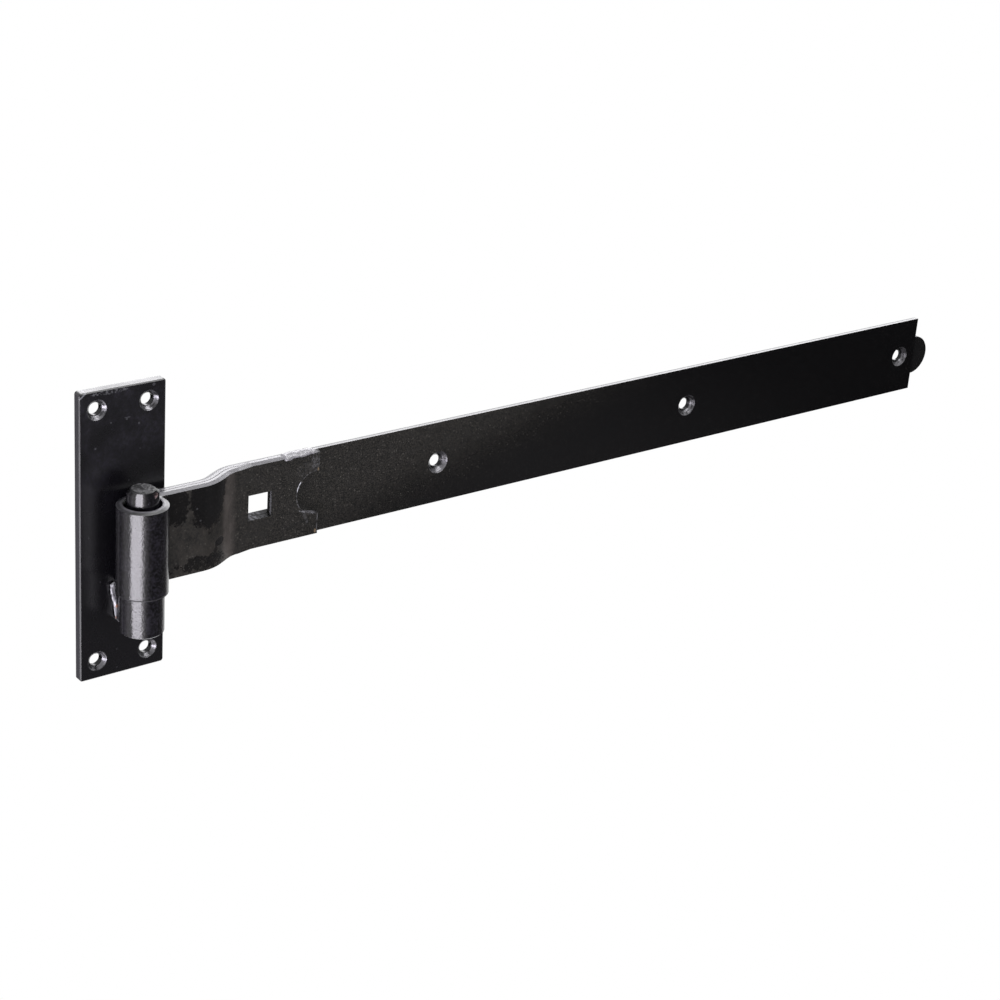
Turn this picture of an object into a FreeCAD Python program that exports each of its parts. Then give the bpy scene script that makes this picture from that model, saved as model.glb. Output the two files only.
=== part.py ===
# Cranked hook and band hinge for a gate: a plate with a fixed upright pin,
# and a long flat band whose rolled eye drops over that pin.
#
# Frame: X runs along the closed band, away from the pin. Y runs from the
# viewer back into the post. Z is up. The origin is the centre of the plate's
# back face, which lies on the post.
import FreeCAD, Part
import math
import os
import re
import Sketcher

V = FreeCAD.Vector

doc = FreeCAD.newDocument("CrankedHookAndBandHinge")


# Sizes, in millimetres and degrees

SIZES = {
    # Hook plate
    "plate_width": 50,
    "plate_height": 164.6,
    "plate_thickness": 5,
    "plate_corner": 1.5,
    "plate_bevel": 0.6,
    "plate_hole_side": 10,
    "plate_hole_end": 10.3,
    "screw_radius": 3.5,
    "plate_sink_radius": 5.7,
    # Hook pin, with its collar and the foot that stands it off the plate
    "pin_radius": 8.5,
    "pin_above_eye": 8.7,
    "pin_point_wide": 2.6,
    "pin_point_deep": 2,
    "pin_side": 1.5,
    "collar_radius": 11.8,
    "collar_height": 23,
    "collar_bevel": 0.8,
    "foot_width": 12,
    "collar_weld": 3.2,
    "collar_weld_short": 0.3,
    # Band: one strip, rolled into the eye, folded back on itself and cranked
    "strip_thickness": 4.4,
    "edge_fall_wide": 2.6,
    "edge_fall_deep": 0.8,
    "band_width": 50,
    "band_drop": 1.1,
    "band_reach": 600,
    "eye_clearance": 0.9,
    "eye_seat_gap": 0.1,
    "eye_mouth_wide": 0.9,
    "eye_mouth_deep": 1.6,
    "throat_radius": 1.2,
    "seam_gap": 0.4,
    "crank_offset": 9.5,
    "crank_start": 39.7,
    "crank_radius": 20,
    "crank_angle": 30,
    "leaf_reach": 117.9,
    "leaf_climb": 1,
    "leaf_climb_run": 8,
    # Ends of the strip: a round nose at the far end, a round notch at the fold
    "nose_radius": 13,
    "nose_setback": 0.5,
    "nose_drop": 1,
    "notch_radius": 12.8,
    "notch_set_in": 1.3,
    "notch_rise": 1.4,
    # Holes in the band
    "band_sink_radius": 6.8,
    "first_screw": 202.9,
    "last_screw_margin": 13.3,
    "bolt_square": 15,
    "bolt_reach": 80,
    "bolt_rise": 0.6,
    "bolt_slip": 3.2,
    # Welds that hold the fold shut
    "fold_weld_length": 27,
    "fold_weld_back": 1.6,
    "fold_weld_rise": 1.2,
    "fold_weld_hang": 0.8,
    "limb_weld_radius": 2.4,
}

sheet = doc.addObject("Spreadsheet::Sheet", "Sizes")
for row, (name, value) in enumerate(SIZES.items(), start=1):
    sheet.set("A%d" % row, name)
    sheet.set("B%d" % row, str(value))
    sheet.setAlias("B%d" % row, name)
doc.recompute()


def val(name):
    return float(sheet.get(name))


def bind(obj, prop, expression):
    """Tie a property to the sheet; a bare word in it is a size's name."""
    def full_name(match):
        word = match.group()
        return "Sizes." + word if word in SIZES else word
    obj.setExpression(prop, re.sub("[a-z_]+", full_name, expression))


# Places that follow from the sizes

EYE_BORE = val("pin_radius") + val("eye_clearance")
EYE_OUTER = EYE_BORE + val("strip_thickness")
# The crank brings the band's back face level with the plate's back face.
PIN_Y = -(EYE_OUTER + val("crank_offset"))
PIN_Y_RULE = "-( pin_radius + eye_clearance + strip_thickness + crank_offset )"
# The plate's front face, seen from the pin's axis
PLATE_Y = -PIN_Y - val("plate_thickness")


def new_body(label):
    body = doc.addObject("PartDesign::Body", label.title().replace("_", ""))
    body.Label = label
    return body


def place(obj, x_rule, y_rule, z_rule):
    """Tie the place of a sub-part to the sheet."""
    bind(obj, "Placement.Base.x", x_rule)
    bind(obj, "Placement.Base.y", y_rule)
    bind(obj, "Placement.Base.z", z_rule)


def sketch_on(body, name, role, offset_rule=None):
    """A sketch on one of the body's own origin planes, moved along its normal."""
    plane = [f for f in body.Origin.OriginFeatures if f.Role == role][0]
    sketch = body.newObject("Sketcher::SketchObject", name)
    sketch.AttachmentSupport = [(plane, "")]
    sketch.MapMode = "FlatFace"
    if offset_rule:
        bind(sketch, "AttachmentOffset.Base.z", offset_rule)
    return sketch


def datum(sketch, name, rule, *args):
    """Add a dimension to a sketch and tie it to the sheet."""
    index = sketch.addConstraint(Sketcher.Constraint(*args))
    sketch.renameConstraint(index, name)
    bind(sketch, "Constraints." + name, rule)


def add_circle(sketch, name, x, y, radius, x_rule, y_rule, radius_rule):
    geo = sketch.addGeometry(Part.Circle(V(x, y, 0), V(0, 0, 1), radius))
    datum(sketch, name + "_radius", radius_rule, "Radius", geo, radius)
    pin_point(sketch, name, geo, 3, x, y, x_rule, y_rule)


def pin_point(sketch, name, geo, end, x, y, x_rule, y_rule):
    """Fix one point of a sketch; a rule of 0 puts it on the axis."""
    for axis, kind, place_at, rule in (("x", "DistanceX", x, x_rule), ("y", "DistanceY", y, y_rule)):
        if rule == "0":
            sketch.addConstraint(Sketcher.Constraint("PointOnObject", geo, end, -2 if axis == "x" else -1))
        else:
            datum(sketch, name + "_" + axis, rule, kind, -1, 1, geo, end, place_at)


def add_rectangle(sketch, x0, y0, x1, y1, rules):
    """A rectangle whose low corner and high corner are tied to four rules."""
    corners = [V(x0, y0, 0), V(x1, y0, 0), V(x1, y1, 0), V(x0, y1, 0)]
    first = sketch.GeometryCount
    for i in range(4):
        sketch.addGeometry(Part.LineSegment(corners[i], corners[(i + 1) % 4]))
    for i in range(4):
        sketch.addConstraint(Sketcher.Constraint("Coincident", first + i, 2, first + (i + 1) % 4, 1))
    for i in (0, 2):
        sketch.addConstraint(Sketcher.Constraint("Horizontal", first + i))
    for i in (1, 3):
        sketch.addConstraint(Sketcher.Constraint("Vertical", first + i))
    name = "box%d" % first
    pin_point(sketch, name + "_low", first, 1, x0, y0, rules[0], rules[1])
    pin_point(sketch, name + "_high", first + 2, 1, x1, y1, rules[2], rules[3])


def add_polygon(sketch, name, points):
    """A closed outline of straight lines through x, y and their two rules."""
    first = sketch.GeometryCount
    count = len(points)
    for i, (x, y, x_rule, y_rule) in enumerate(points):
        x_next, y_next = points[(i + 1) % count][:2]
        sketch.addGeometry(Part.LineSegment(V(x, y, 0), V(x_next, y_next, 0)))
    for i, (x, y, x_rule, y_rule) in enumerate(points):
        before = first + (i - 1) % count
        sketch.addConstraint(Sketcher.Constraint("Coincident", before, 2, first + i, 1))
        pin_point(sketch, name + str(i), first + i, 1, x, y, x_rule, y_rule)


def cut(body, name, sketch, depth_rule=None, taper=0.0, flip=False, both=False):
    """Pocket a sketch, through all or to a depth, and check that it cut."""
    before = body.Tip.Shape.Volume
    pocket = body.newObject("PartDesign::Pocket", name)
    pocket.Profile = sketch
    pocket.Reversed = flip
    pocket.Midplane = both
    if depth_rule:
        pocket.Type = "Length"
        bind(pocket, "Length", depth_rule)
    else:
        pocket.Type = "ThroughAll"
    pocket.TaperAngle = taper
    doc.recompute()
    if pocket.Shape.Volume > before - 1.0:
        raise RuntimeError(name + " cuts nothing")
    return pocket


def meeting_ends(first, second):
    """Which ends of two curves meet: 1 stands for a start and 2 for an end."""
    starts_and_ends = []
    for a, from_point in ((1, first.StartPoint), (2, first.EndPoint)):
        for b, to_point in ((1, second.StartPoint), (2, second.EndPoint)):
            starts_and_ends.append((from_point.distanceToPoint(to_point), a, b))
    return min(starts_and_ends)[1:]


def add_chain(sketch, curves, kind, closed=False):
    """Add named curves in order, join each to the next and number them."""
    number = {}
    for name, curve in curves.items():
        number[name] = sketch.addGeometry(curve)
    names = list(curves)
    following = names[1:] + names[:1] if closed else names[1:]
    for name, after in zip(names, following):
        a, b = meeting_ends(curves[name], curves[after])
        sketch.addConstraint(Sketcher.Constraint(kind, number[name], a, number[after], b))
    return number


def edges_where(shape, test):
    return ["Edge%d" % i for i, edge in enumerate(shape.Edges, start=1) if test(edge)]


def sunk_holes(body, name, face_rule, centres, sink_rule):
    """Drill holes through a plate and sink each mouth on its front face.

    centres holds x, y and their two rules for each hole. The cone is at 90
    degrees, so its depth is how much wider it is than the hole.
    """
    drill = sketch_on(body, name + "_drill", "XZ_Plane", face_rule)
    for i, (x, y, x_rule, y_rule) in enumerate(centres):
        add_circle(drill, "hole%d" % i, x, y, val("screw_radius"), x_rule, y_rule, "screw_radius")
    cut(body, name + "_holes", drill)
    mouth = sketch_on(body, name + "_mouth", "XZ_Plane", face_rule)
    for i, (x, y, x_rule, y_rule) in enumerate(centres):
        add_circle(mouth, "sink%d" % i, x, y, val(sink_rule), x_rule, y_rule, sink_rule)
    cut(body, name + "_sinks", mouth, sink_rule + " - screw_radius", taper=-45.0)


# Hook plate: a flat bar with four screw holes sunk from the front

plate = new_body("plate")
outline = sketch_on(plate, "PlateOutline", "XZ_Plane")
half_w = val("plate_width") / 2
half_h = val("plate_height") / 2
add_rectangle(outline, -half_w, -half_h, half_w, half_h,
              ["-plate_width / 2", "-plate_height / 2", "plate_width / 2", "plate_height / 2"])
slab = plate.newObject("PartDesign::Pad", "PlateSlab")
slab.Profile = outline
bind(slab, "Length", "plate_thickness")
doc.recompute()

corners = plate.newObject("PartDesign::Fillet", "PlateCorners")
corners.Base = (slab, edges_where(slab.Shape, lambda e: abs(e.tangentAt(e.FirstParameter).y) > 0.99))
bind(corners, "Radius", "plate_corner")
doc.recompute()

bevel = plate.newObject("PartDesign::Chamfer", "PlateBevel")
bevel.Base = (corners, edges_where(corners.Shape, lambda e: e.BoundBox.YMax < -val("plate_thickness") + 0.01))
bind(bevel, "Size", "plate_bevel")
doc.recompute()

plate_holes = []
for side, x_rule in ((-1, "plate_hole_side - plate_width / 2"), (1, "plate_width / 2 - plate_hole_side")):
    for end, z_rule in ((-1, "plate_hole_end - plate_height / 2"), (1, "plate_height / 2 - plate_hole_end")):
        plate_holes.append((side * (half_w - val("plate_hole_side")), end * (half_h - val("plate_hole_end")),
                            x_rule, z_rule))
sunk_holes(plate, "Plate", "plate_thickness", plate_holes, "plate_sink_radius")


# Hook pin: a turned pin and collar on a flat-sided foot that reaches the plate.
# The eye rests on the collar, so the collar's top is at the eye's lower end.

hook = new_body("hook_pin")
place(hook, "pin_side", PIN_Y_RULE, "-( band_drop + band_width / 2 + eye_seat_gap )")

PIN_TOP_RULE = "eye_seat_gap + band_width + pin_above_eye"
pin_top = val("eye_seat_gap") + val("band_width") + val("pin_above_eye")
turned = sketch_on(hook, "PinHalfProfile", "XZ_Plane")
profile = [
    (0, -val("collar_height"), "0", "-collar_height"),
    (val("collar_radius") - val("collar_bevel"), -val("collar_height"),
     "collar_radius - collar_bevel", "-collar_height"),
    (val("collar_radius"), val("collar_bevel") - val("collar_height"),
     "collar_radius", "collar_bevel - collar_height"),
    (val("collar_radius"), 0, "collar_radius", "0"),
    (val("pin_radius"), 0, "pin_radius", "0"),
    (val("pin_radius"), pin_top - val("pin_point_deep"),
     "pin_radius", PIN_TOP_RULE + " - pin_point_deep"),
    (val("pin_radius") - val("pin_point_wide"), pin_top, "pin_radius - pin_point_wide", PIN_TOP_RULE),
    (0, pin_top, "0", PIN_TOP_RULE),
]
add_polygon(turned, "turn", profile)
pin = hook.newObject("PartDesign::Revolution", "TurnedPin")
pin.Profile = turned
pin.ReferenceAxis = (turned, ["V_Axis"])
pin.Angle = 360
doc.recompute()

foot_plan = sketch_on(hook, "FootPlan", "XY_Plane")
add_rectangle(foot_plan, -val("foot_width") / 2, 0, val("foot_width") / 2, PLATE_Y,
              ["-foot_width / 2", "0", "foot_width / 2",
               "pin_radius + eye_clearance + strip_thickness + crank_offset - plate_thickness"])
foot = hook.newObject("PartDesign::Pad", "Foot")
foot.Profile = foot_plan
foot.Reversed = True
bind(foot, "Length", "collar_height")
doc.recompute()


# Fillet welds on both sides of the foot, each a quarter-round bead in the
# corner between the foot and the plate

def collar_bead(label, side):
    bead = doc.addObject("Part::Cylinder", label.title().replace("_", ""))
    bead.Label = label
    bead.Angle = 90
    bind(bead, "Radius", "collar_weld")
    bind(bead, "Height", "collar_height - collar_weld_short")
    turn = 180 if side < 0 else 270
    bead.Placement = FreeCAD.Placement(V(), FreeCAD.Rotation(V(0, 0, 1), turn))
    sign = "-" if side < 0 else "+"
    place(bead, "pin_side " + sign + " foot_width / 2", "-plate_thickness",
          "-( band_drop + band_width / 2 + eye_seat_gap + collar_height )")
    return bead


weld_left = collar_bead("collar_weld_left", -1)
weld_right = collar_bead("collar_weld_right", 1)


# Band. Its own axes start on the pin's axis, at half its width. The strip is
# swept along the middle of its thickness: from the far end along the back
# leaf, through the crank, round the eye and back through the crank in front.
# From there the front leaf climbs a little, as the fold isn't quite square.

band = new_body("band")
place(band, "pin_side", PIN_Y_RULE, "-band_drop")

thick = val("strip_thickness")
leaf_step = thick + val("seam_gap")
LEAF_STEP = "( strip_thickness + seam_gap )"
eye_mid = EYE_BORE + thick / 2
throat_mid = val("throat_radius") + thick / 2
front_y = eye_mid - leaf_step
slope = math.radians(val("crank_angle"))
tight = val("crank_radius") - leaf_step / 2
wide = val("crank_radius") + leaf_step / 2
# Length of the crank along X: two bends of one seam radius and the straight
# piece between them, which climbs what the bends leave over.
climb = val("crank_offset") - 2 * val("crank_radius") * (1 - math.cos(slope))
if climb <= 0:
    raise ValueError("the crank's bends are too large for its offset")
crank_run = 2 * val("crank_radius") * math.sin(slope) + climb / math.tan(slope)
RUN_RULE = ("( 2 * crank_radius * sin( crank_angle * 1 deg ) + ( crank_offset - 2 * crank_radius"
            " * ( 1 - cos( crank_angle * 1 deg ) ) ) / tan( crank_angle * 1 deg ) )")
near = V(val("crank_start"), eye_mid + tight, 0)
far = V(val("crank_start") + crank_run, eye_mid + val("crank_offset") - wide, 0)
throat_y = front_y - throat_mid
throat = V(math.sqrt((eye_mid + throat_mid) ** 2 - throat_y ** 2), throat_y, 0)
throat_turn = math.atan2(throat.y, throat.x)


def polar(centre, radius, angle):
    return centre + V(radius * math.cos(angle), radius * math.sin(angle), 0)


def arc(centre, radius, start, end):
    """An arc that runs anticlockwise from one angle to the other."""
    return Part.ArcOfCircle(Part.Circle(centre, V(0, 0, 1), radius), start, end)


up = math.pi / 2
strip_far = val("band_reach") + val("nose_radius") - val("nose_setback")
back_far_y = eye_mid + val("crank_offset")
path = sketch_on(band, "StripPath", "XY_Plane")
# The back leaf's pieces are named first, then the eye, then the front leaf's.
pieces = {
    "back far": Part.LineSegment(V(strip_far, back_far_y, 0), polar(far, wide, up)),
    "back outer bend": arc(far, wide, up, up + slope),
    "back slope": Part.LineSegment(polar(far, wide, up + slope), polar(near, tight, slope - up)),
    "back inner bend": arc(near, tight, -up, slope - up),
    "back near": Part.LineSegment(polar(near, tight, -up), V(0, eye_mid, 0)),
    "eye": arc(V(), eye_mid, up, 2 * math.pi + throat_turn),
    "throat": arc(throat, throat_mid, up, math.pi + throat_turn),
    "front near": Part.LineSegment(polar(throat, throat_mid, up), polar(near, wide, -up)),
    "front inner bend": arc(near, wide, -up, slope - up),
    "front slope": Part.LineSegment(polar(near, wide, slope - up), polar(far, tight, up + slope)),
    "front outer bend": arc(far, tight, up, up + slope),
}
# Each joint of the path is smooth.
at = add_chain(path, pieces, "Tangent")
for name in ("back far", "back near", "front near"):
    path.addConstraint(Sketcher.Constraint("Horizontal", at[name]))
path.addConstraint(Sketcher.Constraint("Coincident", at["eye"], 3, -1, 1))
path.addConstraint(Sketcher.Constraint("Coincident", at["front inner bend"], 3, at["back inner bend"], 3))
path.addConstraint(Sketcher.Constraint("Coincident", at["front outer bend"], 3, at["back outer bend"], 3))
datum(path, "eye", "pin_radius + eye_clearance + strip_thickness / 2", "Radius", at["eye"], eye_mid)
datum(path, "throat", "throat_radius + strip_thickness / 2", "Radius", at["throat"], throat_mid)
for name, sign, radius in (("back outer bend", "+", wide), ("back inner bend", "-", tight),
                           ("front inner bend", "+", wide), ("front outer bend", "-", tight)):
    rule = "crank_radius " + sign + " " + LEAF_STEP + " / 2"
    datum(path, name.replace(" ", "_"), rule, "Radius", at[name], radius)
datum(path, "offset", "crank_offset", "DistanceY", at["back near"], 1, at["back far"], 2,
      val("crank_offset"))
datum(path, "start", "crank_start", "DistanceX", -1, 1, at["back inner bend"], 3, val("crank_start"))
datum(path, "run", RUN_RULE, "DistanceX", at["back inner bend"], 3, at["back outer bend"], 3, crank_run)
datum(path, "tip", "band_reach + nose_radius - nose_setback", "DistanceX", -1, 1,
      at["back far"], 1, strip_far)
# The front leaf's last bend ends parallel to the band.
path.addConstraint(Sketcher.Constraint("Vertical", at["front outer bend"], 1, at["front outer bend"], 3))
doc.recompute()


def strip_section(name, x_rule, outer_side, inner, inner_rule, lift_rule="0"):
    """The strip's cross-section. It is square but for the upper edge on the
    side that ends up outside the eye, which fell away when it was sheared."""
    sketch = sketch_on(band, name, "YZ_Plane", x_rule)
    half_width = val("band_width") / 2
    lift = val(lift_rule) if lift_rule != "0" else 0
    sign, back = (" + ", " - ") if outer_side > 0 else (" - ", " + ")
    outer = inner + outer_side * thick
    outer_rule = inner_rule + sign + "strip_thickness"
    foot_rule = "-band_width / 2 + " + lift_rule
    head_rule = "band_width / 2 + " + lift_rule
    add_polygon(sketch, "corner", [
        (inner, lift - half_width, inner_rule, foot_rule),
        (outer, lift - half_width, outer_rule, foot_rule),
        (outer, lift + half_width - val("edge_fall_deep"), outer_rule, head_rule + " - edge_fall_deep"),
        (outer - outer_side * val("edge_fall_wide"), lift + half_width,
         outer_rule + back + "edge_fall_wide", head_rule),
        (inner, lift + half_width, inner_rule, head_rule),
    ])
    return sketch


strip = band.newObject("PartDesign::AdditivePipe", "Strip")
strip.Profile = strip_section("StripSection", "band_reach + nose_radius - nose_setback", 1,
                              EYE_BORE + val("crank_offset"),
                              "pin_radius + eye_clearance + crank_offset")
strip.Spine = path
doc.recompute()

path_length = sum(piece.length() for piece in pieces.values())
section_area = thick * val("band_width") - val("edge_fall_wide") * val("edge_fall_deep") / 2
if abs(strip.Shape.Volume / (path_length * section_area) - 1) > 0.002:
    raise RuntimeError("the strip's volume isn't its section times its length")

leaf_inner = EYE_BORE + val("crank_offset") - val("seam_gap")
LEAF_INNER = "pin_radius + eye_clearance + crank_offset - seam_gap"
CRANK_END = "crank_start + " + RUN_RULE
leaf = band.newObject("PartDesign::AdditiveLoft", "FrontLeaf")
leaf.Profile = strip_section("LeafStart", CRANK_END, -1, leaf_inner, LEAF_INNER)
leaf.Sections = [
    strip_section("LeafClimbed", CRANK_END + " + leaf_climb_run", -1, leaf_inner, LEAF_INNER, "leaf_climb"),
    strip_section("LeafEnd", "leaf_reach", -1, leaf_inner, LEAF_INNER, "leaf_climb"),
]
leaf.Ruled = True
doc.recompute()
leaf_length = val("leaf_reach") - val("crank_start") - crank_run
added = leaf.Shape.Volume - strip.Shape.Volume
if abs(added / (leaf_length * section_area) - 1) > 0.001:
    raise RuntimeError("the front leaf's volume isn't its section times its length")

# The eye's upper mouth is flared, so the pin finds it easily.
mouth = sketch_on(band, "EyeMouth", "YZ_Plane")
half_width = val("band_width") / 2
flare = val("eye_mouth_wide") / val("eye_mouth_deep")
BORE = "pin_radius + eye_clearance"
add_polygon(mouth, "mouth", [
    (EYE_BORE - 1, half_width - val("eye_mouth_deep"), BORE + " - 1", "band_width / 2 - eye_mouth_deep"),
    (EYE_BORE, half_width - val("eye_mouth_deep"), BORE, "band_width / 2 - eye_mouth_deep"),
    (EYE_BORE + val("eye_mouth_wide") + flare, half_width + 1,
     BORE + " + eye_mouth_wide + eye_mouth_wide / eye_mouth_deep", "band_width / 2 + 1"),
    (EYE_BORE - 1, half_width + 1, BORE + " - 1", "band_width / 2 + 1"),
])
flared = band.newObject("PartDesign::Groove", "EyeMouthFlare")
flared.Profile = mouth
flared.ReferenceAxis = (mouth, ["V_Axis"])
flared.Angle = 360
doc.recompute()
if flared.Shape.Volume > leaf.Shape.Volume - 1:
    raise RuntimeError("the eye's mouth wasn't flared")

# The far end: square shoulders with a round nose between them
nose_x = val("band_reach") - val("nose_setback")
nose_z = -val("nose_drop")
nose_half = math.acos(val("nose_setback") / val("nose_radius"))
past = strip_far + 1
edge = val("band_width") / 2 + 1
nose_low = polar(V(nose_x, nose_z, 0), val("nose_radius"), -nose_half)
nose_high = polar(V(nose_x, nose_z, 0), val("nose_radius"), nose_half)
shoulder = sketch_on(band, "NoseOutline", "XZ_Plane")
reach = val("band_reach")
nose = {
    "nose": arc(V(nose_x, nose_z, 0), val("nose_radius"), -nose_half, nose_half),
    "high shoulder": Part.LineSegment(nose_high, V(reach, edge, 0)),
    "above": Part.LineSegment(V(reach, edge, 0), V(past, edge, 0)),
    "beyond": Part.LineSegment(V(past, edge, 0), V(past, -edge, 0)),
    "below": Part.LineSegment(V(past, -edge, 0), V(reach, -edge, 0)),
    "low shoulder": Part.LineSegment(V(reach, -edge, 0), nose_low),
}
at = add_chain(shoulder, nose, "Coincident", closed=True)
for name in ("high shoulder", "beyond", "low shoulder"):
    shoulder.addConstraint(Sketcher.Constraint("Vertical", at[name]))
for name in ("above", "below"):
    shoulder.addConstraint(Sketcher.Constraint("Horizontal", at[name]))
datum(shoulder, "nose", "nose_radius", "Radius", at["nose"], val("nose_radius"))
pin_point(shoulder, "centre", at["nose"], 3, nose_x, nose_z, "band_reach - nose_setback", "-nose_drop")
pin_point(shoulder, "high", at["high shoulder"], 2, reach, edge, "band_reach", "band_width / 2 + 1")
pin_point(shoulder, "low", at["beyond"], 2, past, -edge,
          "band_reach + nose_radius - nose_setback + 1", "-band_width / 2 - 1")
shoulder.addConstraint(Sketcher.Constraint("Vertical", at["nose"], 1, at["nose"], 2))
cut(band, "Nose", shoulder, both=True)

# The folded end: a round notch in the front leaf only. The cuts in one leaf
# start from the middle of the seam between the leaves.
SEAM_RULE = "-( pin_radius + eye_clearance - seam_gap / 2 + crank_offset )"
notch = sketch_on(band, "NotchOutline", "XZ_Plane", SEAM_RULE)
add_circle(notch, "notch", val("leaf_reach") - val("notch_set_in"), val("notch_rise"), val("notch_radius"),
           "leaf_reach - notch_set_in", "notch_rise", "notch_radius")
cut(band, "Notch", notch, flip=True)

# Square hole for a coach bolt, punched in each leaf before the strip was
# folded, so the two don't quite meet
half = val("bolt_square") / 2
low_z = val("bolt_rise") - half
for name, slip, slip_rule, flip in (("Front", 0, "0", True), ("Back", val("bolt_slip"), "bolt_slip", False)):
    punch = sketch_on(band, name + "BoltHole", "XZ_Plane", SEAM_RULE)
    low_x = val("bolt_reach") + slip - half
    x_rule = "bolt_reach + " + slip_rule
    add_rectangle(punch, low_x, low_z, low_x + 2 * half, low_z + 2 * half,
                  [x_rule + " - bolt_square / 2", "bolt_rise - bolt_square / 2",
                   x_rule + " + bolt_square / 2", "bolt_rise + bolt_square / 2"])
    cut(band, name + "BoltPunch", punch, flip=flip)

# Three screw holes, equally spaced along the single leaf
last_screw = reach - val("last_screw_margin")
band_holes = [
    (val("first_screw"), 0, "first_screw", "0"),
    ((val("first_screw") + last_screw) / 2, 0, "( first_screw + band_reach - last_screw_margin ) / 2", "0"),
    (last_screw, 0, "band_reach - last_screw_margin", "0"),
]
sunk_holes(band, "Band", "-( pin_radius + eye_clearance + crank_offset )", band_holes, "band_sink_radius")


# Welds that hold the fold shut: a bead over the seam and the front leaf's top
# edge, which hangs a little over its front face, and one down the upper limb
# at that leaf's end

fold_weld = new_body("fold_weld")
place(fold_weld, "pin_side", PIN_Y_RULE, "-band_drop")
bead_section = sketch_on(fold_weld, "FoldWeldSection", "YZ_Plane", "leaf_reach - fold_weld_length")
seam_back = EYE_BORE + val("crank_offset")
leaf_front = leaf_inner - thick
top = val("band_width") / 2
crest = top + val("leaf_climb")
brow = crest - val("edge_fall_deep")
SEAM_BACK = "pin_radius + eye_clearance + crank_offset"
LEAF_FRONT = LEAF_INNER + " - strip_thickness"
CREST = "band_width / 2 + leaf_climb"
BROW = CREST + " - edge_fall_deep"
add_polygon(bead_section, "bead", [
    (seam_back + val("fold_weld_back"), top, SEAM_BACK + " + fold_weld_back", "band_width / 2"),
    (leaf_inner, top, LEAF_INNER, "band_width / 2"),
    (leaf_inner, crest, LEAF_INNER, CREST),
    (leaf_front + val("edge_fall_wide"), crest, LEAF_FRONT + " + edge_fall_wide", CREST),
    (leaf_front, brow, LEAF_FRONT, BROW),
    (leaf_front, brow - val("fold_weld_hang"), LEAF_FRONT, BROW + " - fold_weld_hang"),
    (leaf_front - val("fold_weld_hang") / 2, brow, LEAF_FRONT + " - fold_weld_hang / 2", BROW),
    (leaf_front + val("edge_fall_wide") / 2, crest + val("fold_weld_rise") / 2,
     LEAF_FRONT + " + edge_fall_wide / 2", CREST + " + fold_weld_rise / 2"),
    (leaf_inner, crest + val("fold_weld_rise"), LEAF_INNER, CREST + " + fold_weld_rise"),
])
bead = fold_weld.newObject("PartDesign::Pad", "FoldWeldBead")
bead.Profile = bead_section
bind(bead, "Length", "fold_weld_length")
doc.recompute()

limb_weld = doc.addObject("Part::Cylinder", "LimbWeld")
limb_weld.Label = "limb_weld"
limb_weld.Angle = 90
bind(limb_weld, "Radius", "limb_weld_radius")
NOTCH_TOP = "( notch_rise + sqrt( notch_radius ^ 2 - notch_set_in ^ 2 ) )"
bind(limb_weld, "Height", "band_width / 2 - " + NOTCH_TOP)
limb_weld.Placement = FreeCAD.Placement(V(), FreeCAD.Rotation(V(0, 0, 1), 270))
place(limb_weld, "pin_side + leaf_reach", "-strip_thickness", NOTCH_TOP + " - band_drop")

doc.recompute()


# Check every object, then write one file for each piece

for obj in doc.Objects:
    if "Invalid" in obj.State or "Error" in obj.State:
        raise RuntimeError("%s: %s" % (obj.Name, obj.State))

os.makedirs("parts", exist_ok=True)
for obj in (plate, hook, weld_left, weld_right, band, fold_weld, limb_weld):
    shape = obj.Shape
    if shape.isNull() or not shape.isValid() or len(shape.Solids) != 1:
        raise RuntimeError(obj.Label + " isn't one valid solid")
    shape.exportStep("parts/%s.step" % obj.Label)
    box = shape.BoundBox
    print("%-18s %9.0f mm3  x %.1f..%.1f  y %.1f..%.1f  z %.1f..%.1f" % (
        obj.Label, shape.Volume, box.XMin, box.XMax, box.YMin, box.YMax, box.ZMin, box.ZMax))
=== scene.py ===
# %% [markdown]
# # A cranked hook and band hinge, painted black
#
# The hinge has two halves. A plate with an upright pin is screwed to the gate
# post, and a long steel band with a rolled eye drops over that pin. The CAD
# model already has every flat, bend and hole at its true size, so this script
# keeps those pieces and gives them paint, bare metal, weld beads and light.

import math

import bmesh
import bpy
from mathutils import Matrix, Vector, noise


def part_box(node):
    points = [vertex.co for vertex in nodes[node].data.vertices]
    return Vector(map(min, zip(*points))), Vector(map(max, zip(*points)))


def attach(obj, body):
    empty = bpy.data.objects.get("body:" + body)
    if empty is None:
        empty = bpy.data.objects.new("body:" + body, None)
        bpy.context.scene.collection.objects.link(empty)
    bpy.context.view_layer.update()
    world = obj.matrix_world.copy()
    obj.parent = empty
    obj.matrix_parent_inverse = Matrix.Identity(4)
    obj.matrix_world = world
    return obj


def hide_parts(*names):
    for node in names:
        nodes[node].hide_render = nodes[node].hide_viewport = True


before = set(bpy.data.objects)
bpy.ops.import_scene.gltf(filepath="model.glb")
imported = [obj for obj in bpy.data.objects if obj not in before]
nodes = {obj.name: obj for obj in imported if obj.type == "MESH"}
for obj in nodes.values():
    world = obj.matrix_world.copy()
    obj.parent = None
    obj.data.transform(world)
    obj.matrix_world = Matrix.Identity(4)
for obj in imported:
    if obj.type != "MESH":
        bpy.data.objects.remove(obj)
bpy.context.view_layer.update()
print("CAD pieces:", sorted(nodes))

# %% [markdown]
# ## Camera
#
# The picture was taken from the front left, above the hinge, with a long lens
# and a slight roll. A camera can be aimed by turning it or by a target, but a
# roll is then hard to add. Here three directions say how it is held: its
# right, its up, and the way it looks. They become the columns of its matrix.

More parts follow.
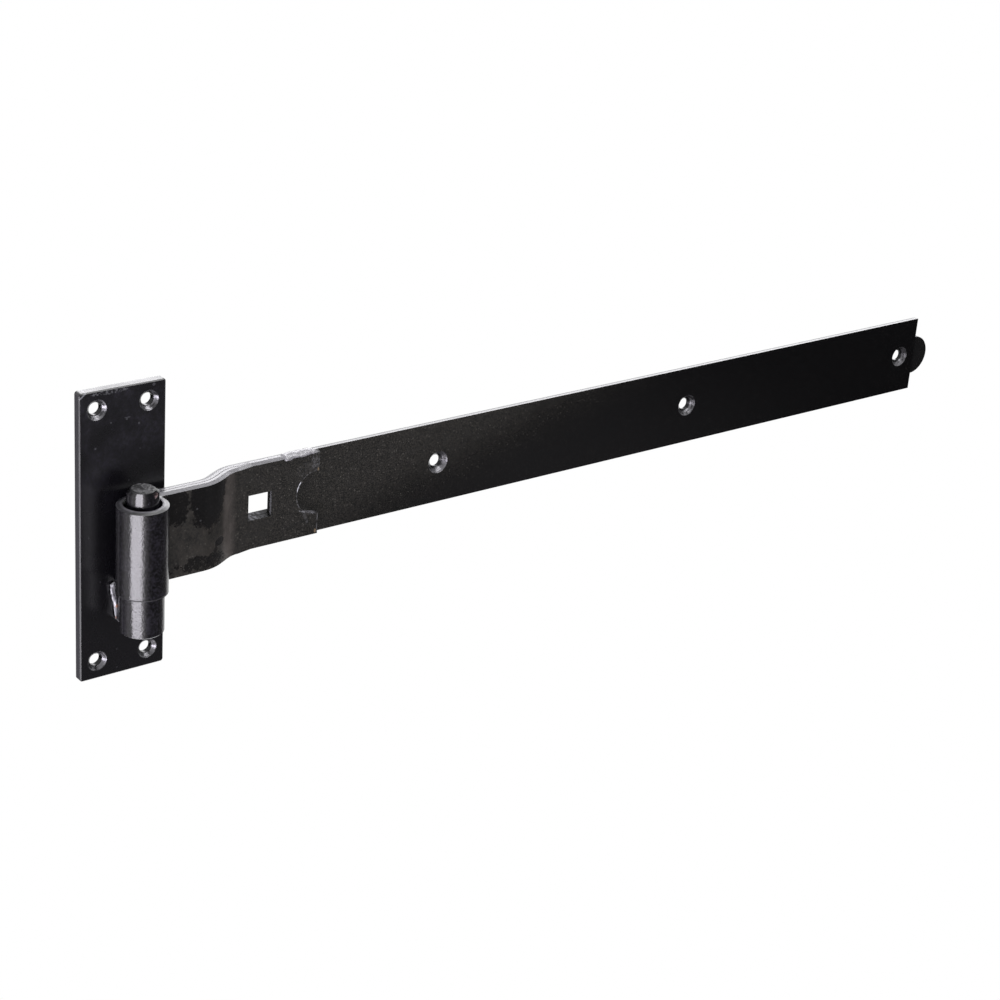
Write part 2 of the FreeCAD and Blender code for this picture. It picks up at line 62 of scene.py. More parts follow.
# %% Camera
RIGHT = Vector((0.79347, -0.60458, 0.06993))
UP = Vector((0.19479, 0.36114, 0.91194))
LOOK = Vector((0.57659, 0.70998, -0.40431))
STANDPOINT = (-0.52581, -0.96274, 0.51046)

camera = bpy.data.objects.new("photo_camera", bpy.data.cameras.new("photo_camera"))
axes = Matrix((RIGHT, UP, -LOOK)).transposed().to_4x4()
camera.matrix_world = Matrix.Translation(STANDPOINT) @ axes
camera.data.sensor_width = 36.0
camera.data.lens = 81.81
camera.data.clip_start = 0.01
bpy.context.scene.collection.objects.link(camera)
bpy.context.scene.camera = camera
bpy.context.scene.view_settings.view_transform = "Standard"
print("camera height above the origin: %.2f m" % camera.location.z)

# %% [markdown]
# ## Light
#
# Black gloss paint shows little of its own colour. What is seen is the room
# that it mirrors: a wide soft lamp low on the left gives the bright stripe
# down the barrel, one behind gives the pale top edges, one overhead gives the
# glints in the countersinks, and a high one, behind on the right, lights the
# eye's rim. A picture of a studio wrapped round the scene could do this too,
# but with lamps each reflection is moved by itself. A softbox here is an area
# lamp whose power is worked out from how bright its face should look.

# %% Softboxes
# Places to aim lamps at: the doubled part of the band, the middle of the
# barrel on the pin's axis, and the front of the eye's rim
TARGET = Vector((0.1, -0.02, 0.0))
BARREL = Vector((0.0015, -0.0233, -0.01))
RIM = Vector((BARREL.x, -0.037, 0.024))


def softbox(name, centre, aim, size, brightness, colour=(1, 1, 1)):
    """A rectangular lamp that faces aim. White paper looks like brightness 1."""
    width, height = size
    data = bpy.data.lights.new(name, "AREA")
    data.shape = "RECTANGLE"
    data.size = width
    data.size_y = height
    data.energy = brightness * math.pi * width * height
    data.color = colour
    lamp = bpy.data.objects.new(name, data)
    lamp.location = centre
    lamp.rotation_euler = (Vector(aim) - Vector(centre)).to_track_quat("-Z", "Y").to_euler()
    lamp.visible_camera = False
    bpy.context.scene.collection.objects.link(lamp)


def toward(azimuth, elevation, distance, start):
    """A point at that distance from start. Azimuth turns from +X towards +Y."""
    a, e = math.radians(azimuth), math.radians(elevation)
    way = Vector((math.cos(a) * math.cos(e), math.sin(a) * math.cos(e), math.sin(e)))
    return start + distance * way


softbox("left_softbox", toward(215.5, -24, 1.0, BARREL), BARREL, (0.84, 0.40), 11.8, (0.95, 0.92, 1.0))
softbox("back_softbox", toward(50, 22, 2.2, TARGET), TARGET, (1.8, 0.8), 5.1, (0.98, 0.97, 1.0))
softbox("top_softbox", (0.45, -0.35, 0.95), (0.25, 0.0, 0.0), (0.9, 0.5), 6.5)
softbox("rim_softbox", toward(51, 64, 1.0, RIM), RIM, (0.8, 0.40), 4.5)

# %% [markdown]
# ## Words for shader maths
#
# A finish is a small network of nodes. Written one node at a time it is hard
# to read, so a socket is wrapped in a class that knows Python's operators:
# `1 - mask` then adds the Math node by itself. Every other kind of node comes
# from `add`, which takes its settings first and its sockets' values after.

# %% Sockets as numbers
class Wire:
    """A socket that carries a value. Python maths on it adds Math nodes."""

    def __init__(self, finish, socket):
        self.finish = finish
        self.socket = socket

    def math(self, operation, *terms):
        return self.finish.add("Math", {"operation": operation}, dict(enumerate(terms)))

    def __add__(self, other):
        return self.math("ADD", self, other)

    def __sub__(self, other):
        return self.math("SUBTRACT", self, other)

    def __mul__(self, other):
        return self.math("MULTIPLY", self, other)

    def __truediv__(self, other):
        return self.math("DIVIDE", self, other)

    def __rsub__(self, other):
        return self.math("SUBTRACT", other, self)

    def __lt__(self, other):
        return self.math("LESS_THAN", self, other)

    def __abs__(self):
        return self.math("ABSOLUTE", self)

    __radd__ = __add__
    __rmul__ = __mul__


def most(first, second):
    """The larger of a wire and another value."""
    return first.math("MAXIMUM", first, second)


def least(first, second):
    """The smaller of a wire and another value."""
    return first.math("MINIMUM", first, second)


def rgb(red, green, blue):
    return (red, green, blue, 1.0)


# %% One finish
class Finish:
    """A new material, or the new world, with short ways to add nodes to it."""

    def __init__(self, name, blocks=bpy.data.materials):
        self.block = blocks.new(name)
        self.block.use_nodes = True
        self.tree = self.block.node_tree
        self.tree.nodes.clear()

    def add(self, kind, settings=None, values=None, output=0):
        """Add a node: settings first, then a value or a wire for each socket."""
        node = self.tree.nodes.new("ShaderNode" + kind)
        for name, setting in (settings or {}).items():
            setattr(node, name, setting)
        for key, value in (values or {}).items():
            if isinstance(value, Wire):
                self.tree.links.new(value.socket, node.inputs[key])
            else:
                node.inputs[key].default_value = value
        return Wire(self, node.outputs[output]) if len(node.outputs) else None

    def place(self):
        """Where a point lies on the piece, in metres, and its X, Y and Z."""
        spot = self.add("TexCoord", output="Object")
        return (spot,) + tuple(self.part(spot, axis) for axis in "XYZ")

    def part(self, vector, axis):
        return self.add("SeparateXYZ", {}, {0: vector}, output=axis)

    def facing(self, axis):
        """How much the surface faces along one axis of the piece, from -1 to 1."""
        return self.part(self.add("TexCoord", output="Normal"), axis)

    def length(self, x, y, z):
        """Length of a vector given by its three parts."""
        joined = self.add("CombineXYZ", {}, {"X": x, "Y": y, "Z": z})
        return self.add("VectorMath", {"operation": "LENGTH"}, {0: joined}, output="Value")

    def distance(self, spot, point):
        """How far a spot is from a known point."""
        return self.add("VectorMath", {"operation": "DISTANCE"}, {0: spot, 1: point}, output="Value")

    def noise(self, spot, scale, detail=3.0, roughness=0.55, stretch=(1, 1, 1), distortion=0.0):
        """Cloudy noise around 0.5. A scale of 100 gives clouds about 10 mm wide."""
        moved = self.add("VectorMath", {"operation": "MULTIPLY"}, {0: spot, 1: stretch})
        return self.add("TexNoise", {}, {"Vector": moved, "Scale": scale, "Detail": detail,
                                         "Roughness": roughness, "Distortion": distortion})

    def specks(self, spot, scale, size, share):
        """Small round specks: one in each cell, kept for a share of the cells."""
        cell = self.add("TexVoronoi", {}, {"Vector": spot, "Scale": scale})
        tone = self.add("TexVoronoi", {}, {"Vector": spot, "Scale": scale}, output="Color")
        lottery = self.add("SeparateColor", {}, {0: tone})
        return (cell < size) * (lottery < share)

    def ramp(self, value, low, high):
        """0 below low, 1 above high and a smooth rise between. Low may be the larger."""
        return self.add("MapRange", {"interpolation_type": "SMOOTHSTEP"},
                        {"Value": value, "From Min": low, "From Max": high})

    def blob(self, x, z, centre, size, wobble=0.0):
        """1 inside an ellipse on a front face and 0 outside it."""
        across = (x - centre[0]) / size[0]
        upright = (z - centre[1]) / size[1]
        return self.ramp(across * across + upright * upright + wobble, 1.25, 0.75)

    def stroke(self, x, z, start, end, width):
        """1 along a line between two points of a front face and 0 beside it."""
        run, rise = end[0] - start[0], end[1] - start[1]
        along = ((x - start[0]) * run + (z - start[1]) * rise) / (run * run + rise * rise)
        along = self.add("Clamp", {}, {"Value": along})
        away = self.length(x - start[0] - along * run, 0.0, z - start[1] - along * rise)
        return self.ramp(away, width, width * 0.35)

    def shown(self):
        """1 for the camera and for what shiny or clear things show, 0 for lighting."""
        camera_ray, glossy_ray, clear_ray = [
            self.add("LightPath", output=ray)
            for ray in ("Is Camera Ray", "Is Glossy Ray", "Is Transmission Ray")]
        return most(camera_ray, most(glossy_ray, clear_ray))

    def blend(self, mask, first, second):
        """First colour where the mask is 0, second where it is 1."""
        return self.add("Mix", {"data_type": "RGBA"}, {0: mask, 6: first, 7: second}, output=2)

    def bump(self, height, depth):
        """Tilt the shading by a height of 0 to 1 that stands for depth metres."""
        return self.add("Bump", {}, {"Height": height, "Distance": depth, "Strength": 1.0})

    def finish(self, **sockets):
        """Close the network with the surface shader and return the material."""
        values = {key.replace("_", " "): value for key, value in sockets.items()}
        shader = self.add("BsdfPrincipled", {}, values)
        self.add("OutputMaterial", {}, {"Surface": shader})
        print("finish %s: %d nodes" % (self.block.name, len(self.tree.nodes)))
        return self.block


# %% [markdown]
# ## Room, floor and cards
#
# The background has to be pure white, but a white room would turn the black
# paint grey. So the room lights the hinge as an even grey, and shows itself as
# white to the camera and in reflections. The floor is white paper well below
# the hinge: it is pure white far away, and near the hinge it keeps the soft
# shadow.
#
# A photographer lays black card round anything glossy and black, or else it
# mirrors the white paper. Two cards lie below the hinge here, one in front and
# one behind, and only reflections show them. A real card is lit unevenly, so
# each has a glow that changes with the place: every flat of the hinge mirrors
# its own part of the card and takes its tone from there.

# %% Room and floor
FLOOR_Z = -0.80
FLOOR_HALF = 9.0


def grey_room():
    f = Finish("room", bpy.data.worlds)
    walls = f.add("Background", {}, {"Color": rgb(0.55, 0.55, 0.56)})
    white = f.add("Background", {}, {"Color": rgb(1, 1, 1)})
    f.add("OutputWorld", {}, {"Surface": f.add("MixShader", {}, {0: f.shown(), 1: walls, 2: white})})
    return f.block


def floor_paper():
    f = Finish("floor_paper")
    spot = f.add("TexCoord", output="Object")
    white = f.ramp(f.distance(spot, (0, 0, 0)), 0.85, 1.05) * f.shown()
    paper = f.add("BsdfDiffuse", {}, {"Color": rgb(0.86, 0.86, 0.86)})
    glow = f.add("Emission", {}, {"Color": rgb(1, 1, 1), "Strength": 1.0})
    f.add("OutputMaterial", {}, {"Surface": f.add("MixShader", {}, {0: white, 1: paper, 2: glow})})
    return f.block


def flat_sheet(name, outline, height, material):
    """A level stage piece at one height. The outline's points are X and Y."""
    mesh = bpy.data.meshes.new(name)
    mesh.from_pydata([(x, y, height) for x, y in outline], [], [tuple(range(len(outline)))])
    sheet = bpy.data.objects.new(name, mesh)
    sheet.data.materials.append(material)
    bpy.context.scene.collection.objects.link(sheet)
    return sheet


bpy.context.scene.world = grey_room()
square = [(-FLOOR_HALF, -FLOOR_HALF), (FLOOR_HALF, -FLOOR_HALF),
          (FLOOR_HALF, FLOOR_HALF), (-FLOOR_HALF, FLOOR_HALF)]
flat_sheet("floor", square, FLOOR_Z, floor_paper())
print("floor at %.2f m" % FLOOR_Z)

# %% Black cards
CARD_Z = -0.55


def bearing(f, x, y):
    """Direction from the barrel on the ground, in degrees from -180 to 180."""
    angle = f.add("Math", {"operation": "ARCTAN2"}, {0: y - BARREL.y, 1: x - BARREL.x})
    return angle * math.degrees(1)


def front_glow(f, x, y):
    """How bright each part of the front card is."""
    under_band = f.ramp(x, 1.66, 0.96) * f.ramp(x, 0.45, 1.0) * 0.14
    under_plate = f.ramp(y, -0.97, -1.22) * 0.13 + f.ramp(y, -0.938, -0.915) * 0.14
    under_plate = under_plate * f.ramp(x, 0.80, 0.60)
    under_crank = f.ramp(y, -0.55, 0.0) * 0.06
    # The card brightens steeply to the left, which rounds off the barrel's stripe.
    leftward = (-112.0 - bearing(f, x, y)) / 10.0
    wing = least(leftward.math("EXPONENT", leftward) * 2.2, 2.8)
    return under_band + under_plate + under_crank + wing


def back_glow(f, x, y):
    """How bright each part of the back card is: it brightens to the left too."""
    turned = bearing(f, x, y)
    return 0.02 + f.ramp(turned, 122.0, 165.0) * 0.60 + f.ramp(turned, 152.0, 174.0) * 0.75


def card_face(name, glow):
    f = Finish(name)
    x, y = f.place()[1:3]
    colour = f.add("VectorMath", {"operation": "SCALE"}, {0: (1.0, 0.97, 1.0), "Scale": glow(f, x, y)})
    shine = f.add("Emission", {}, {"Color": colour})
    f.add("OutputMaterial", {}, {"Surface": shine})
    return f.block


def card(name, outline, glow):
    """A card that only reflections show."""
    sheet = flat_sheet(name, outline, CARD_Z, card_face(name, glow))
    for ray in ("camera", "diffuse", "shadow", "transmission"):
        setattr(sheet, "visible_" + ray, False)
    print("card:", name)


card("front_card", [(-0.05, -0.03), (-2.0, -2.6), (4.0, -2.6), (4.0, 0.7), (0.1, 0.02)], front_glow)
card("back_card", [(-0.08, 0.03), (0.0, 0.12), (0.3, 4.0), (-4.0, 4.0), (-4.0, 0.35)], back_glow)

# %% [markdown]
# ## Bare steel in the countersinks
#
# The screw holes were drilled and sunk after the bar was cut, and little paint
# stays in them. The tool leaves fine turned rings, and grey streaks of paint
# run across them. The rings could be modelled, but they are finer than a
# pixel, so a sine wave of the distance from the hole's own line stands for
# them. Plate and band are closed by the same function: paint on the flats,
# steel in the countersinks.

# %% Drilled holes
def hole_distance(f, x, z, across, upright):
    """Distance from the line through x = across, z = upright."""
    return f.length(x - across, 0.0, z - upright)


def turned_rings_and_bore_shade(f, away, spot, sink):
    """How bright a countersink is: rings and streaks, and painted shade down the bore.

    away is the distance from the hole's line, and sink the radius of its mouth.
    """
    wave = away * 5200.0
    rings = wave.math("SINE", wave) * 0.5 + 0.5
    streak = f.ramp(f.noise(spot, 420.0, 3.0), 0.34, 0.62)
    # The fall to dark inside the mouth is painted shade down the bore.
    return (0.10 + rings * 0.20 + streak * 0.70) * f.ramp(away, sink * 0.62, sink * 0.70)


def drilled_finish(f, away, sink, tone, coat, rough, metal, normal):
    """Close a finish: steel inside the holes' mouths, the coat outside them."""
    bare = away < sink + 0.00003
    steel = f.blend(tone, rgb(0.018, 0.018, 0.019), rgb(0.150, 0.147, 0.158))
    return f.finish(
        Base_Color=f.blend(bare, coat, steel),
        Metallic=(bare + metal) * 0.9,
        Roughness=f.add("Mix", {"data_type": "FLOAT"}, {0: bare, 2: rough, 3: 0.24 + tone * 0.06}),
        Normal=normal)


# %% [markdown]
# ## Paint on the plate
#
# The plate is flat bar with a coat of gloss black. Up close the coat has a
# bluish haze in clouds, a few specks, and worn whitish marks under the top
# edge. The sawn sides are duller. A painted image could hold all of this, but
# masks worked out from the place stay sharp at any size: a cloud is a noise,
# and each mark that the photo shows is a small blob or stroke at its place.

# %% Marks on the plate
# Each speck has a place on the front face and a radius.
PLATE_DOTS = [((0.0023, 0.0639), 0.00056), ((0.0093, 0.0604), 0.00064), ((-0.0069, 0.0635), 0.00048),
              ((0.0178, 0.0804), 0.00088), ((-0.0158, 0.0508), 0.00056)]
print("specks that stand out:", len(PLATE_DOTS))


def plate_haze(f, spot, x, z, streaks):
    """Clouds that are strongest on the upper half, and one patch of its own."""
    clouds = f.ramp(f.noise(spot, 45.0, 4.0, 0.6), 0.40, 0.68)
    haze = clouds * (0.10 + f.ramp(z, 0.0, 0.055) * 0.90)
    haze = haze * (0.5 + f.ramp(streaks, 0.35, 0.65) * 0.5)
    patch = f.ramp(f.length((x + 0.0092) / 1.8, 0.0, z - 0.0422), 0.008, 0.001) * 0.6
    return most(haze, patch)


def plate_specks(f, spot, x, z):
    """Dust in the paint, the five specks that stand out and a short scratch."""
    specks = f.specks(spot, 300.0, 0.14, 0.06) * 0.5
    for centre, size in PLATE_DOTS:
        specks = specks + f.blob(x, z, centre, (size, size))
    specks = specks + f.stroke(x, z, (0.0012, 0.0648), (0.0040, 0.0648), 0.0004)
    return least(specks, 1.0)


def worn_paint(f, spot, x, z):
    """Paint worn to grains under the top edge and at the upper left corner."""
    grit = f.noise(spot, 900.0, 2.0, 0.6)
    worn = f.blob(x, z, (-0.007, 0.0806), (0.011, 0.0013))
    worn = worn + f.blob(x, z, (-0.021, 0.079), (0.005, 0.004)) * 0.7
    return f.ramp(grit * least(worn, 1.0), 0.44, 0.58)


def edge_streaks(f, spot, scale):
    """Streaks along X that sawing or shearing leaves on an edge."""
    return f.ramp(f.noise(spot, scale, 3.0, 0.6, (0.12, 1, 1)), 0.35, 0.65)


# %% Plate paint
# One screw hole in from the plate's upper right corner, and its mouth's
# radius. The other three holes mirror it, so the paint uses abs(x) and abs(z).
plate_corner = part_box("plate")[1]
PLATE_SCREW = (plate_corner.x - 0.0100, plate_corner.z - 0.0103)
PLATE_SINK = 0.0057
print("plate screw at x %.4f and z %.4f" % PLATE_SCREW)


def plate_paint():
    f = Finish("plate_gloss")
    spot, x, y, z = f.place()
    front = f.ramp(f.facing("Y"), -0.80, -0.95)
    top = f.ramp(f.facing("Z"), 0.60, 0.90)
    side = f.ramp(abs(f.facing("X")), 0.75, 0.95)
    streaks = f.noise(spot, 220.0, 3.0, 0.6, (1, 1, 0.3))
    haze = plate_haze(f, spot, x, z, streaks)
    mottle = 0.20 + f.ramp(f.noise(spot, 560.0, 2.0, 0.6), 0.40, 0.62) * 0.80
    coat = f.blend(haze * mottle, rgb(0.0023, 0.0021, 0.0031), rgb(0.0092, 0.0080, 0.0135))
    coat = f.blend(worn_paint(f, spot, x, z) * front * 0.5, coat, rgb(0.12, 0.12, 0.13))
    coat = f.blend(plate_specks(f, spot, x, z) * front * 0.40, coat, rgb(0.08, 0.08, 0.09))
    coat = f.blend(side, coat, rgb(0.034, 0.033, 0.037))
    sawn = f.blend(edge_streaks(f, spot, 700.0), rgb(0.012, 0.012, 0.013), rgb(0.055, 0.055, 0.058))
    coat = f.blend(top, coat, sawn)
    # A painted highlight: a pale diagonal stroke on the rounded upper left corner.
    corner_highlight = f.stroke(x, z, (-0.0244, 0.0795), (-0.0212, 0.0822), 0.0006)
    coat = f.blend(corner_highlight * 0.6, coat, rgb(0.22, 0.22, 0.24))

    away = hole_distance(f, abs(x), abs(z), *PLATE_SCREW)
    tone = turned_rings_and_bore_shade(f, away, spot, PLATE_SINK)
    waves = f.noise(spot, 520.0, 2.0) * 0.25 + f.noise(spot, 60.0, 2.0) * 0.7 + streaks * 0.3
    cut_rings = tone * f.ramp(away, PLATE_SINK - 0.0001, PLATE_SINK - 0.0007)
    normal = f.bump(waves + cut_rings * 1.2, 0.00009)
    rough = 0.27 + haze * 0.08 + (1 - front) * (1 - top) * 0.18
    return drilled_finish(f, away, PLATE_SINK, tone, coat, rough, 0.0, normal)


# %% [markdown]
# ## Paint on the pin
#
# The pin and its collar are sprayed thicker, so their stripe of light has the
# skin of an orange. Real dents of that size would need millions of faces, so a
# bump does it. The top of the pin was cut by a blunt tool: its face is dull,
# grey and swirled, and a burr hangs at its right, with a pinkish painted
# highlight on it. Where the eye turns on the collar a thin light line runs,
# partly worn paint and partly a painted highlight.

# %% Thick paint
def thick_paint(f, spot, runs):
    """Colour of thick paint: violet black, paler on its runs and its small hills."""
    hills = f.ramp(f.noise(spot, 820.0, 2.0, 0.6), 0.44, 0.62)
    pale = f.ramp(runs, 0.4, 0.7) * 0.20 + hills * 0.50
    return f.blend(pale, rgb(0.0008, 0.0007, 0.0011), rgb(0.0200, 0.0182, 0.0255))


def orange_skin(f, spot):
    """Relief of thick paint."""
    return f.noise(spot, 760.0, 2.0, 0.6)


# %% Pin paint
pin_low, pin_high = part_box("hook_pin")
band_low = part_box("band")[0]
BURR = (0.0052, -0.0308, 0.0312)
print("pin from z %.4f to %.4f, eye from %.4f" % (pin_low.z, pin_high.z, band_low.z))


def pin_paint():
    f = Finish("pin_gloss")
    spot, x, y, z = f.place()
    runs = f.noise(spot, 160.0, 3.0, 0.5, (1, 1, 0.5))
    dust = f.specks(spot, 500.0, 0.15, 0.06)
    coat = f.blend(dust * 0.6, thick_paint(f, spot, runs), rgb(0.06, 0.06, 0.07))

    # The cut face and its burr
    top = pin_high.z
    cut = f.ramp(z, top - 0.0011, top - 0.0003)
    swirl = f.ramp(f.noise(spot, 230.0, 4.0, 0.6, distortion=2.5), 0.38, 0.62)
    coat = f.blend(cut, coat, f.blend(swirl, rgb(0.012, 0.012, 0.013), rgb(0.095, 0.094, 0.100)))
    ragged = (f.noise(spot, 500.0, 2.0) - 0.5) * 0.003
    burr_with_highlight = f.ramp(f.distance(spot, BURR) + ragged, 0.0024, 0.0012)
    # Its pinkish colour is a painted highlight on the burr.
    coat = f.blend(burr_with_highlight * 0.85, coat, rgb(0.24, 0.17, 0.17))

    # Light lines under the eye and round the collar's foot: partly worn paint, partly a painted highlight
    # on the edges there
    seat = band_low.z - 0.0004
    foot = pin_low.z
    wear_and_highlight = f.ramp(abs(z - seat), 0.0004, 0.0001) + f.ramp(z, foot + 0.0008, foot + 0.0003)
    wear_and_highlight = wear_and_highlight * f.ramp(f.noise(spot, 380.0, 2.0), 0.34, 0.56)
    coat = f.blend(wear_and_highlight * 0.8, coat, rgb(0.20, 0.20, 0.21))

    # The chamfer is painted darker to the left, as painted shade, and shaded like
    # the pin's side, since on the real pin it is a soft round and not a flat cone.
    tilted = f.ramp(f.facing("Z"), 0.30, 0.45) * f.ramp(f.facing("Z"), 0.95, 0.85)
    chamfer = tilted * f.ramp(z, top - 0.0026, top - 0.0020)
    coat = f.blend(chamfer * f.ramp(x, 0.0075, 0.0045) * 0.9, coat, rgb(0.006, 0.006, 0.0075))
    outward = f.add("CombineXYZ", {}, {"X": x - BARREL.x, "Y": y - BARREL.y})
    outward = f.add("VectorMath", {"operation": "NORMALIZE"}, {0: outward})

    skin = orange_skin(f, spot) * (1.0 - f.ramp(z, -0.02, 0.0) * 0.6)
    normal = f.bump(skin + runs * 0.5 + swirl * cut * 1.5 + burr_with_highlight * 2.5, 0.00014)
    rounded = chamfer * f.ramp(z, top - 0.0004, top - 0.0008)
    normal = f.add("Mix", {"data_type": "VECTOR"}, {0: rounded, 4: normal, 5: outward}, output=1)
    rough = 0.15 + f.ramp(runs, 0.4, 0.8) * 0.08 + cut * 0.25 + wear_and_highlight * 0.2
    return f.finish(Base_Color=coat, Roughness=rough, Metallic=wear_and_highlight * 0.4, Normal=normal)


# %% [markdown]
# ## Paint on the band
#
# The band's flats were dusted by the spray: a brownish matt bloom with fine
# grains lies over the first third and fades along a slanting line beyond the
# first screw hole. Two smooth pools on the front leaf stayed clean, with a
# smudge below them. The sheared edges are streaked along their length; a
# painted highlight makes them pale where the strip lies double and palest at
# the back, and another rings the eye's bore. The round notch was dressed with a
# file, which left bright scratch marks, and a painted highlight runs along its
# rim. Each cut face could have a material of its own, but their borders would
# be hard, so all of it is one material in layers: each layer is a mask and a
# colour laid over what came before.

# %% Places on the band
# From the band's back, at y = 0, two leaves of the strip and the thin seam
# between them reach forward to the front leaf's face.
STRIP, STRIP_WIDTH, SEAM = 0.0044, 0.050, 0.0004
FRONT_LEAF = -(2 * STRIP + SEAM)
BAND_MIDDLE = band_low.z + STRIP_WIDTH / 2

# The barrel's right side, and the radius of the painted highlight round the eye's bore
BARREL_RIGHT = BARREL.x + 0.0138
EYE_LIP = 0.0109

# The crank steps back by its offset between about these two places along X.
CRANK_START, CRANK_END = 0.0397, 0.0669
CRANK_OFFSET = 0.0095

# The square hole's left wall in the front leaf, and its right wall in the
# back leaf, where the hole lies a little further out
HOLE_LEFT, HOLE_RIGHT = 0.0740, 0.0922

# The front leaf's end, with its round notch
LEAF_END = 0.1194
NOTCH, NOTCH_RADIUS = (0.1181, 0.0003), 0.0128

# Three screw holes, the middle one halfway, and the radius of their mouths
FIRST_SCREW, LAST_SCREW = 0.2044, 0.5882
BAND_SCREWS = [FIRST_SCREW, (FIRST_SCREW + LAST_SCREW) / 2, LAST_SCREW]
BAND_SINK = 0.0068
print("front leaf at y %.4f, band's middle at z %.4f" % (FRONT_LEAF, BAND_MIDDLE))

# %% Gloss and bloom on the flats
def clean_pools(f, spot, x, z, ripple):
    """Gloss black places on the front leaf, where the bloom never settled."""
    fine = f.noise(spot, 420.0, 2.0, 0.6)
    rough_edge = (ripple - 0.5) * 1.6 + (fine - 0.5) * 1.4
    left_pool = f.blob(x, z, (0.0242, 0.0165), (0.0078, 0.0125), rough_edge * 1.4)
    right_pool = f.blob(x, z, (0.0445, 0.0170), (0.0118, 0.0200), rough_edge * 0.6)
    smudge = f.blob(x, z, (0.0525, -0.0120), (0.0036, 0.0026), rough_edge * 0.6)
    tail = f.stroke(x, z, (0.0500, -0.0130), (0.0485, -0.0190), 0.0016)
    low = f.blob(x, z, (0.0425, -0.0215), (0.0140, 0.0045), rough_edge * 4.0) * 0.75
    total = left_pool * 0.9 + right_pool + smudge + tail * 0.7 + low
    return least(total, 1.0) * f.ramp(x, 0.075, 0.065)


def gloss_coat(f, spot, x, barrel, ripple):
    """Plain black on the flats, thick paint on the barrel, greyer on the nose."""
    gloss = f.blend(barrel, rgb(0.0043, 0.0042, 0.0045), thick_paint(f, spot, ripple))
    return f.blend(f.ramp(x, 0.600, 0.604), gloss, rgb(0.0085, 0.0083, 0.0086))


def matt_coat(f, spot, x, ripple, grain):
    """Dry brownish spray, in grains and blotches, warmest near the barrel."""
    matt = f.blend(f.ramp(grain, 0.45, 0.58), rgb(0.0008, 0.0007, 0.0006), rgb(0.0175, 0.0155, 0.0128))
    blotch = f.ramp(f.noise(spot, 260.0, 3.0), 0.40, 0.62)
    matt = f.blend(blotch * 0.25, matt, rgb(0.0190, 0.0172, 0.0160))
    warm = f.ramp(x, 0.062, 0.050) * f.ramp(ripple, 0.35, 0.65)
    return f.blend(warm * 0.6, matt, rgb(0.0230, 0.0195, 0.0165))


# %% Sheared edges and the eye's rim
def sheared_edge(f, spot, x, y, barrel, ripple):
    """The strip's top edge, and round the pin the eye's rim. Painted highlights make
    it paler on the double part and at the back, and ring the eye's bore.
    """
    streaks = edge_streaks(f, spot, 800.0)
    edge = f.blend(streaks, rgb(0.004, 0.004, 0.005), rgb(0.030, 0.029, 0.032))
    # Where the strip lies double it is painted paler: a painted highlight on the rounded corners of its
    # two leaves.
    doubled_part_highlight = f.ramp(x, LEAF_END - 0.0004, LEAF_END - 0.0024) * (0.65 + streaks * 0.35)
    edge = f.blend(doubled_part_highlight, edge, rgb(0.125, 0.122, 0.134))
    # The back corner follows the crank.
    behind = CRANK_OFFSET * (1 - f.ramp(x, CRANK_START, CRANK_END))
    rear_edge_highlight = f.ramp(y + behind, -0.0020, -0.0001)
    # The back of the edge is painted palest: a painted highlight on its rounded back corner.
    edge = f.blend(rear_edge_highlight * (1 - barrel), edge, rgb(0.14, 0.14, 0.15))
    from_pin = f.length(x - BARREL.x, y - BARREL.y, 0.0)
    # A painted highlight rings the eye's bore.
    lip_highlight = f.ramp(abs(from_pin - EYE_LIP), 0.0014, 0.0004)
    bright = f.ramp(ripple, 0.4, 0.6) * 0.3 + lip_highlight * 0.7
    return f.blend(barrel, edge, f.blend(bright, rgb(0.010, 0.010, 0.012), rgb(0.115, 0.111, 0.124)))


# %% Marks on the front leaf
LEAF_DOTS = [((0.0365, 0.0113), 0.0006), ((0.0388, 0.0040), 0.0006), ((0.0320, 0.0235), 0.0005),
             ((0.0222, 0.0020), 0.0004)]


def on_front_leaf(f, y):
    """1 on the front leaf's own face, 0 on the single leaf behind it."""
    return f.ramp(y, FRONT_LEAF + 0.0008, FRONT_LEAF + 0.0003)


def file_marks_and_rim_highlight(f, x, z, broken):
    """Scratches and smears that the file left round the notch, and a painted highlight along its rim."""
    # The rim line and its glint are a painted highlight on the notch's edge.
    from_rim = hole_distance(f, x, z, *NOTCH) - (NOTCH_RADIUS + 0.0003)
    rim = f.ramp(abs(from_rim), 0.00055, 0.00015)
    glint = f.blob(x, z, (0.1064, 0.0058), (0.0018, 0.0036))
    glint = glint + f.blob(x, z, (0.1052, -0.0040), (0.0020, 0.0050)) * 0.12
    scratches_and_rim_highlight = rim * (0.05 + glint)
    for start, end, width, strength in (
            ((0.1135, -0.0100), (0.1182, -0.0118), 0.0007, 0.50),
            ((0.1070, -0.0090), (0.1105, -0.0102), 0.0006, 0.20),
            ((0.1100, -0.0105), (0.1125, -0.0170), 0.0012, 0.06),
            ((0.1192, -0.0120), (0.1190, -0.0240), 0.0004, 0.14)):
        scratches_and_rim_highlight = scratches_and_rim_highlight + f.stroke(x, z, start, end, width) * strength
    smear = f.blob(x, z, (0.1172, 0.0195), (0.0030, 0.0060)) * 0.10
    smear = smear + f.blob(x, z, (0.1105, 0.0150), (0.0060, 0.0050), (broken - 0.5) * 2) * 0.03
    return scratches_and_rim_highlight * f.ramp(broken, 0.36, 0.56) + smear * f.ramp(broken, 0.40, 0.66)


